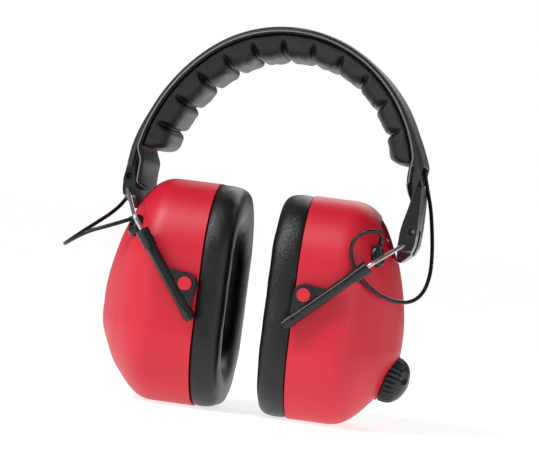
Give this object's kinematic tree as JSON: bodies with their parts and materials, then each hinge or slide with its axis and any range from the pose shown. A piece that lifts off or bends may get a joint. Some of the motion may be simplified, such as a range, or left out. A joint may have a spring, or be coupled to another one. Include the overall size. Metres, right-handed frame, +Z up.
{
  "type": "earmuff hearing protector",
  "caption": "Electronic earmuff with deep red cups, padded folding headband, steel wire yokes and outside microphones.",
  "frame": {"origin": "centre of the footprint on the floor under the two cups", "axes": "+Z up along the headband's height, +X from the left-hand cup to the cup with the volume knob, -Y towards the side seen from the front"},
  "size_m": [0.1765, 0.1002, 0.1873],
  "materials": {
    "red_plastic": "satin",
    "black_plastic": "satin",
    "cover_vinyl": "grained vinyl",
    "lining_vinyl": "matte grained vinyl",
    "pad_vinyl": "grained vinyl",
    "cushion_vinyl": "soft grained vinyl",
    "wire_steel": "bright drawn wire",
    "spring_steel": "brushed",
    "bright_metal": "satin",
    "cable_rubber": "satin",
    "knob_rubber": "satin",
    "foam": "open-cell foam",
    "battery_shell": "satin",
    "contact_brass": "bright",
    "board": "solder mask"
  },
  "bodies": {
    "headband": {"band_cover": "cover_vinyl", "band_lining": "lining_vinyl", "head_pad": "pad_vinyl", "band_spring": "spring_steel", "link_cable": "cable_rubber", "left_arm": "black_plastic", "right_arm": "black_plastic", "left_arm_pin": "bright_metal", "right_arm_pin": "bright_metal", "left_arm_rivets": "bright_metal", "right_arm_rivets": "bright_metal", "left_cord": "cable_rubber", "right_cord": "cable_rubber"},
    "left_yoke": {"left_yoke_wire": "wire_steel"},
    "left_sleeves": {"left_front_sleeve": "black_plastic", "left_front_sleeve_plug": "black_plastic", "left_rear_sleeve": "black_plastic", "left_rear_sleeve_plug": "black_plastic"},
    "left_cup": {"left_cup_shell": "red_plastic", "left_base_plate": "black_plastic", "left_ear_cushion": "cushion_vinyl", "left_foam_liner": "foam", "left_speaker_frame": "black_plastic", "left_speaker": "bright_metal", "left_frame_screws": "bright_metal", "left_mic_housing": "black_plastic", "left_mic_capsule": "bright_metal", "left_front_pivot_pin": "red_plastic", "left_rear_pivot_pin": "red_plastic", "battery_holder": "black_plastic", "batteries": "battery_shell", "battery_contacts": "contact_brass"},
    "right_yoke": {"right_yoke_wire": "wire_steel"},
    "right_sleeves": {"right_front_sleeve": "black_plastic", "right_front_sleeve_plug": "black_plastic", "right_rear_sleeve": "black_plastic", "right_rear_sleeve_plug": "black_plastic"},
    "right_cup": {"right_cup_shell": "red_plastic", "right_base_plate": "black_plastic", "right_ear_cushion": "cushion_vinyl", "right_foam_liner": "foam", "right_speaker_frame": "black_plastic", "right_speaker": "bright_metal", "right_frame_screws": "bright_metal", "right_mic_housing": "black_plastic", "right_mic_capsule": "bright_metal", "right_front_pivot_pin": "red_plastic", "right_rear_pivot_pin": "red_plastic", "circuit_board": "board", "volume_control": "bright_metal", "control_nut": "bright_metal"},
    "knob": {"volume_knob": "knob_rubber"}
  },
  "joints": [
    {"name": "left_fold", "type": "hinge", "parent": "headband", "child": "left_yoke", "pos_m": [-0.06835, 0, 0.0997], "axis": [0, 1, 0], "range_deg": [-3, 37], "deforming": ["left_cord"]},
    {"name": "left_extend", "type": "slide", "parent": "left_yoke", "child": "left_sleeves", "axis": [0.5911, 0, -0.8066], "range_m": [0, 0.018], "deforming": ["left_cord"]},
    {"name": "left_tilt", "type": "hinge", "parent": "left_sleeves", "child": "left_cup", "pos_m": [-0.03115, 0, 0.05925], "axis": [0, 1, 0], "range_deg": [-3, 14], "deforming": ["left_cord"]},
    {"name": "right_fold", "type": "hinge", "parent": "headband", "child": "right_yoke", "pos_m": [0.06615, 0, 0.0899], "axis": [0, -1, 0], "range_deg": [-3, 51], "deforming": ["right_cord"]},
    {"name": "right_extend", "type": "slide", "parent": "right_yoke", "child": "right_sleeves", "axis": [-0.7444, 0, -0.6678], "range_m": [0, 0.018], "deforming": ["right_cord"]},
    {"name": "right_tilt", "type": "hinge", "parent": "right_sleeves", "child": "right_cup", "pos_m": [0.02485, 0, 0.06105], "axis": [0, 1, 0], "range_deg": [-14, 8], "deforming": ["right_cord"]},
    {"name": "volume_turn", "type": "hinge", "parent": "right_cup", "child": "knob", "pos_m": [0.064, 0, 0.0256], "axis": [0.9563, 0, -0.2924], "range_deg": [0, 280]}
  ]
}
